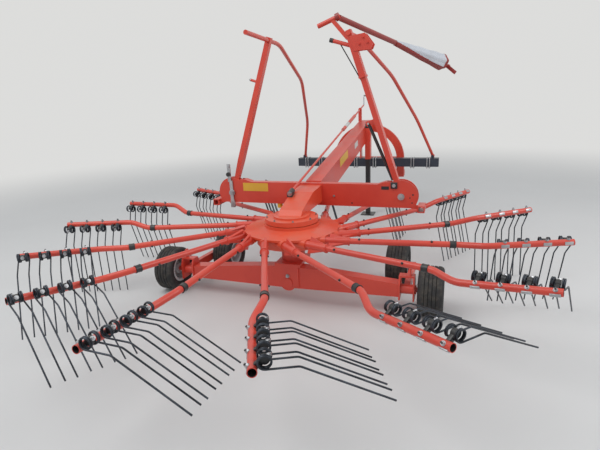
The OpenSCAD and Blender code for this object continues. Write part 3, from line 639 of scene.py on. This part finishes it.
# swath curtain: half a cone of cloth that widens along its bar
curtain = {
    "barFrom": (-0.054, 0.0, 1.625), "barTo": (0.560, 2.010, 1.035),
    "from": 0.940, "length": 1.140, "near": 0.0273, "far": 0.089, "turn": 145.0, "tilt": 3.10,
    "thick": 0.003, "rows": 64, "ribs": 40, "flat": (0.283, 1.142), "area": 0.21,
    "seam": 0.42, "seamRise": 0.35, "hem": 0.955,
    # folds: share, waves round the cone and waves along it
    "fold": 0.007, "folds": ((0.7, 21.0, 2.0), (0.3, 9.0, -13.0)), "ripple": 0.012, "ripples": 24.0,
}
bm = bmesh.new()
uvLayer = bm.loops.layers.uv.new("cloth")
bmesh.ops.create_grid(bm, x_segments=curtain["ribs"], y_segments=curtain["rows"], size=0.5, calc_uvs=False)
flatPlace = {vert: (vert.co.x + 0.5, vert.co.y + 0.5) for vert in bm.verts}
flare = (curtain["far"] - curtain["near"]) / curtain["length"]
for face in bm.faces:
    a, b = (sum(flatPlace[vert][axis] for vert in face.verts) / 4 for axis in (0, 1))
    # a dark red strip along the bar and at the far hem, pale cloth between them
    seam = curtain["seam"] + curtain["seamRise"] * (1 - b) ** 3
    face.material_index = 1 if 1 - a > seam and b < curtain["hem"] else 0
    for loop in face.loops:
        a, b = flatPlace[loop.vert]
        reach = (curtain["near"] + flare * b * curtain["length"]) / flare
        opened = (a - 0.5) * math.pi * flare
        loop[uvLayer].uv = (reach * math.sin(opened), reach * math.cos(opened))
for vert, (a, b) in flatPlace.items():
    waves = sum(share * math.sin(a * around + b * onward) for share, around, onward in curtain["folds"])
    radius = curtain["near"] + flare * b * curtain["length"] + curtain["fold"] * b * waves
    edge = curtain["ripple"] * b * math.sin(b * curtain["ripples"]) * (2 * a - 1) ** 8
    turn = math.pi * a + edge / radius
    vert.co = (radius * math.cos(turn), radius * math.sin(turn), b * curtain["length"])
barStart, barEnd = Vector(curtain["barFrom"]), Vector(curtain["barTo"])
coneSpot = (atHinge(1)
            @ Matrix.Translation(barStart)
            @ towardMatrix(barEnd - barStart)
            @ Matrix.Translation((0, 0, curtain["from"]))
            @ Matrix.Rotation(math.radians(curtain["turn"]), 4, "Z")
            @ Matrix.Rotation(math.radians(curtain["tilt"]), 4, "Y")
            @ Matrix.Rotation(math.pi / 2, 4, "Z"))
cloth = makePiece("curtainCloth", bm, "guard_right", ["redCanvas", "canvas"], coneSpot,
                  ["curtain_sheet"])
wall = cloth.modifiers.new("thickness", "SOLIDIFY")
wall.thickness = curtain["thick"]
wall.offset = 0.0
print("curtain made")

# crossbeam, seen from behind: plates as two corners, holes with a radius and bolts with a width; the slot
# and the holes are a black plate and black discs on the face, painted shade for the openings
beam = {
    "back": 0.565, "inside": 0.002,
    "plate": ((-0.708, 0.790), (-0.443, 0.870)), "plateStand": 0.0015,
    "slot": ((0.655, 0.834), (0.722, 0.864)), "holeStand": 0.001,
    "holes": ((0.932, 0.793, 0.008), (0.907, 0.765, 0.006), (0.926, 0.720, 0.006), (0.387, 0.702, 0.007)),
    "pad": ((0.738, 0.846), (0.796, 0.902)), "padStand": 0.014, "padBevel": 0.003,
    "padBolt": (0.767, 0.874, 0.024), "smallBolt": (0.217, 0.763, 0.017),
    "peg": (-0.338, 0.595), "pegHeights": (0.628, 0.676), "pegRadius": 0.026,
    "hingeBolt": 0.046, "hingeStand": {1: 0.0, -1: 0.014},
}


def addBeamPlate(bm, corners, stand, paint, bevel=0.0):
    (x0, z0), (x1, z1) = corners
    addBlock(bm, inRotor((x0, beam["back"] - stand, z0)), inRotor((x1, beam["back"] + beam["inside"], z1)),
             bevel, paint)


def addBeamBolt(bm, x, z, width, stand=0.0):
    addBolt(bm, inRotor((x, beam["back"] - stand, z)), (0, -1, 0), width, paint=2)


bm = bmesh.new()
addBeamPlate(bm, beam["plate"], beam["plateStand"], paint=3)
# a black plate on the face stands for the slot: painted shade
addBeamPlate(bm, beam["slot"], beam["holeStand"], paint=1)
addBeamPlate(bm, beam["pad"], beam["padStand"], paint=1, bevel=beam["padBevel"])
# black discs on the face stand for the holes: painted shade
for x, z, radius in beam["holes"]:
    reach = (-beam["holeStand"], beam["inside"])
    addDrum(bm, inRotor((x, beam["back"], z)), (0, 1, 0), reach, radius, sides=20, paint=1)
addBeamBolt(bm, *beam["padBolt"], stand=beam["padStand"])
addBeamBolt(bm, *beam["smallBolt"])
for side, stand in beam["hingeStand"].items():
    addBeamBolt(bm, side * hinge["x"], hinge["z"], beam["hingeBolt"], stand)
addDrum(bm, inRotor((*beam["peg"], 0.0)), (0, 0, 1), beam["pegHeights"], beam["pegRadius"],
        sides=24, paint=3)
makePiece("beamTrim", bm, "frame", ["red", "black", "zinc", "yellow"])

# latch lever: a knob and a pin stick out behind it
lever = {"x": -0.848, "face": 0.552, "knob": 0.955, "knobReach": (0.0, 0.024), "knobRadius": 0.021,
         "pin": 1.030, "pinReach": (0.0, 0.012), "pinRadius": 0.010}
bm = bmesh.new()
addDrum(bm, inRotor((lever["x"], lever["face"], lever["knob"])), (0, -1, 0), lever["knobReach"],
        lever["knobRadius"], sides=24)
addDrum(bm, inRotor((lever["x"], lever["face"], lever["pin"])), (0, -1, 0), lever["pinReach"],
        lever["pinRadius"], sides=16, paint=1)
makePiece("leverKnob", bm, "frame", ["black", "zinc"])

# boom: two blank plates on its right side, as their two corners and their paint
boom = {"from": 0.641, "top": 0.888, "rise": 0.400, "run": 2.534, "side": 0.075, "stand": 0.0012,
        "plates": (((0.74, -0.105), (1.12, -0.015), 1), ((1.50, -0.120), (1.68, -0.050), 2))}
bm = bmesh.new()
boomSpot = (Matrix.Translation(inRotor((0, boom["from"], boom["top"])))
            @ Matrix.Rotation(math.atan2(boom["rise"], boom["run"]), 4, "X"))
for (y0, z0), (y1, z1), paint in boom["plates"]:
    addBlock(bm, (boom["side"] - sunk, y0, z0), (boom["side"] + boom["stand"], y1, z1),
             paint=paint, place=boomSpot)
makePiece("boomPlates", bm, "frame", ["red", "yellow", "pale"])

# height spindle: drums as reach from the lower end, radius and paint; the handle from the upper end
spindle = {
    "low": (-0.080, 0.215, 0.862), "high": (-0.080, 3.470, 1.488), "radius": 0.011,
    "drums": (((2.0, 2.7), 0.021, 0), ((2.12, 2.30), 0.0216, 3), ((1.988, 2.002), 0.017, 2),
              ((-0.020, 0.050), 0.024, 1)),
    "capEnd": -0.020, "capBolt": 0.034,
    "handle": ((0, 0.045, 0.009), (0, 0.045, 0.139), (0, 0.135, 0.139)), "handleFrom": 0.002,
    "handleRadius": 0.009, "handleBend": 0.024,
    "grip": ((0, 0.075, 0.139), (0, 0.136, 0.139)), "gripRadius": 0.0125,
}
low, high = inRotor(spindle["low"]), inRotor(spindle["high"])
ahead = (high - low).normalized()
bm = bmesh.new()
addRod(bm, low, high, spindle["radius"], sides=20)
for reach, radius, paint in spindle["drums"]:
    addDrum(bm, low, ahead, reach, radius, sides=28, paint=paint)
addBolt(bm, low + ahead * spindle["capEnd"], -ahead, spindle["capBolt"], paint=2)
handle = [high + Vector(point) for point in spindle["handle"]]
addTube(bm, [high - ahead * spindle["handleFrom"], *handle], spindle["handleRadius"], spindle["handleBend"],
        sides=16, steps=6, paint=2)
addRod(bm, *(high + Vector(end) for end in spindle["grip"]), spindle["gripRadius"], sides=20, paint=1)
makePiece("heightSpindle", bm, "frame", ["red", "black", "zinc", "pale"],
          replaces=["height_crank"])
print("beam and boom trim made")

# clamps on the front bar: a pair of bent rods over it, nuts below and a plate between
clamp = {
    "barBack": 3.175, "barFront": 3.285, "barLow": 0.627, "barHigh": 0.745, "places": (0.138, 0.678, 0.896),
    "rod": 0.006, "bend": 0.012, "apart": 0.018, "rodEnd": 0.022,
    "nut": (-0.018, -0.008), "nutRadius": 0.011,
    "plateHalf": 0.034, "plateOver": 0.018, "plateDepth": 0.008, "plateBevel": 0.001,
}
bm = bmesh.new()
back, front = clamp["barBack"] - clamp["rod"], clamp["barFront"] + clamp["rod"]
over, under = clamp["barHigh"] + clamp["rod"], clamp["barLow"] - clamp["rodEnd"]
plateBack, plateFront = clamp["barBack"] - clamp["plateOver"], clamp["barFront"] + clamp["plateOver"]
corners = ((back, under), (back, over), (front, over), (front, under))
for centre in [side * x for side in (-1, 1) for x in clamp["places"]]:
    for x in (centre - clamp["apart"], centre + clamp["apart"]):
        rodPath = [inRotor((x, y, z)) for y, z in corners]
        addTube(bm, rodPath, clamp["rod"], clamp["bend"], sides=12, steps=4)
        for y in (back, front):
            addDrum(bm, inRotor((x, y, clamp["barLow"])), (0, 0, 1), clamp["nut"], clamp["nutRadius"],
                    sides=6)
    low = inRotor((centre - clamp["plateHalf"], plateBack, clamp["barLow"] - clamp["plateDepth"]))
    high = inRotor((centre + clamp["plateHalf"], plateFront, clamp["barLow"]))
    addBlock(bm, low, high, clamp["plateBevel"])
makePiece("barClamps", bm, "frame", ["zinc"])

# axle pins: the pivot with its bolt behind, and the ends of the fork's pins
axle = {"back": -0.105, "centre": 0.178, "blockFace": 0.062, "pivot": (-0.002, 0.010), "pivotRadius": 0.042,
        "boltUp": 0.062, "boltWidth": 0.024, "forkPin": (1.024, 1.035), "pinRadius": 0.036}
bm = bmesh.new()
face = axle["back"] - axle["blockFace"]
addDrum(bm, inRotor((0, face, axle["centre"])), (0, -1, 0), axle["pivot"], axle["pivotRadius"], sides=32)
addBolt(bm, inRotor((0, face, axle["centre"] + axle["boltUp"])), (0, -1, 0), axle["boltWidth"], paint=1)
for side in (-1, 1):
    addDrum(bm, inRotor((0, axle["back"], wheelHeight)), (side, 0, 0), axle["forkPin"],
            axle["pinRadius"], sides=28)
makePiece("axlePins", bm, "frame", ["red", "zinc"])
print("bar and axle trim made")

# floor, light and camera
studio = {
    "pale": (0.72, 0.72, 0.71, 1.0), "sky": (0.93, 0.96, 1.0, 1.0), "world": 0.62, "backdrop": 1.0,
    "floor": 160.0, "drop": 0.001, "near": 4.5, "far": 11.0,
    "floorDark": (0.62, 0.62, 0.61, 1.0), "floorLight": (0.68, 0.68, 0.67, 1.0), "floorRough": 0.85,
    "floorClouds": (0.7, 4.0),
}
lamps = {
    "skyPanel": {"place": (-2.5, -3.5, 6.5), "aim": (0, 0, 0.6), "size": 5.0, "power": 180.0},
    "sidePanel": {"place": (5.5, -1.0, 4.5), "aim": (0, 0, 0.8), "size": 3.5, "power": 110.0},
}


def seenDirectly(tree):
    # 1 for rays that show the backdrop: to the camera, in gloss and through glass
    paths = tree.nodes.new("ShaderNodeLightPath")
    total = paths.outputs["Is Camera Ray"]
    for name in ("Is Glossy Ray", "Is Transmission Ray"):
        plus = tree.nodes.new("ShaderNodeMath")
        plus.use_clamp = True
        tree.links.new(total, plus.inputs[0])
        tree.links.new(paths.outputs[name], plus.inputs[1])
        total = plus.outputs[0]
    return total


bpy.ops.mesh.primitive_plane_add(size=studio["floor"], location=(0, 0, -studio["drop"]))
floor = bpy.context.object
floor.name = "floor"
s = Shader("floorPale")
radius = s.knot("ShaderNodeVectorMath", {"operation": "LENGTH"}, s.place, out="Value")
away = radius.between(studio["near"], studio["far"])
clouds = s.noise(*studio["floorClouds"])
s.finish(s.mix(clouds, studio["floorDark"], studio["floorLight"]), studio["floorRough"])
glow = s.knot("ShaderNodeEmission", {}, studio["pale"], studio["backdrop"])
seen = Knot(s, seenDirectly(s.material.node_tree))
mixed = s.knot("ShaderNodeMixShader", {}, away * seen, Knot(s, s.surface.outputs[0]), glow)
s.feed(mixed, s.nodes["Material Output"].inputs["Surface"])
floor.data.materials.append(s.material)

world = bpy.data.worlds.new("softSky")
bpy.context.scene.world = world
world.use_nodes = True
tree = world.node_tree
background = tree.nodes["Background"]
background.inputs["Color"].default_value = studio["sky"]
background.inputs["Strength"].default_value = studio["world"]
backdrop = tree.nodes.new("ShaderNodeBackground")
backdrop.inputs["Color"].default_value = studio["pale"]
backdrop.inputs["Strength"].default_value = studio["backdrop"]
blend = tree.nodes.new("ShaderNodeMixShader")
tree.links.new(seenDirectly(tree), blend.inputs[0])
tree.links.new(background.outputs[0], blend.inputs[1])
tree.links.new(backdrop.outputs[0], blend.inputs[2])
tree.links.new(blend.outputs[0], tree.nodes["World Output"].inputs["Surface"])

for name, values in lamps.items():
    light = bpy.data.lights.new(name, "AREA")
    light.shape = "DISK"
    light.size = values["size"]
    light.energy = values["power"]
    lamp = bpy.data.objects.new(name, light)
    bpy.context.scene.collection.objects.link(lamp)
    lamp.location = values["place"]
    aim = Vector(values["aim"]) - Vector(values["place"])
    lamp.rotation_euler = aim.to_track_quat("-Z", "Y").to_euler()

camera = {"place": (1.2901, -4.2069, 1.676), "turn": 19.587, "tip": 74.05, "roll": -2.62,
          "lens": 27.208, "sensor": 36.0, "sight": 300.0}
lens = bpy.data.cameras.new("camera")
lens.lens = camera["lens"]
lens.sensor_width = camera["sensor"]
lens.clip_end = camera["sight"]
eye = bpy.data.objects.new("camera", lens)
bpy.context.scene.collection.objects.link(eye)
eye.matrix_world = (Matrix.Translation(camera["place"])
                    @ Matrix.Rotation(math.radians(camera["turn"]), 4, "Z")
                    @ Matrix.Rotation(math.radians(camera["tip"]), 4, "X")
                    @ Matrix.Rotation(math.radians(camera["roll"]), 4, "Z"))
bpy.context.scene.camera = eye
bpy.context.scene.view_settings.view_transform = "Standard"
print("stage set")
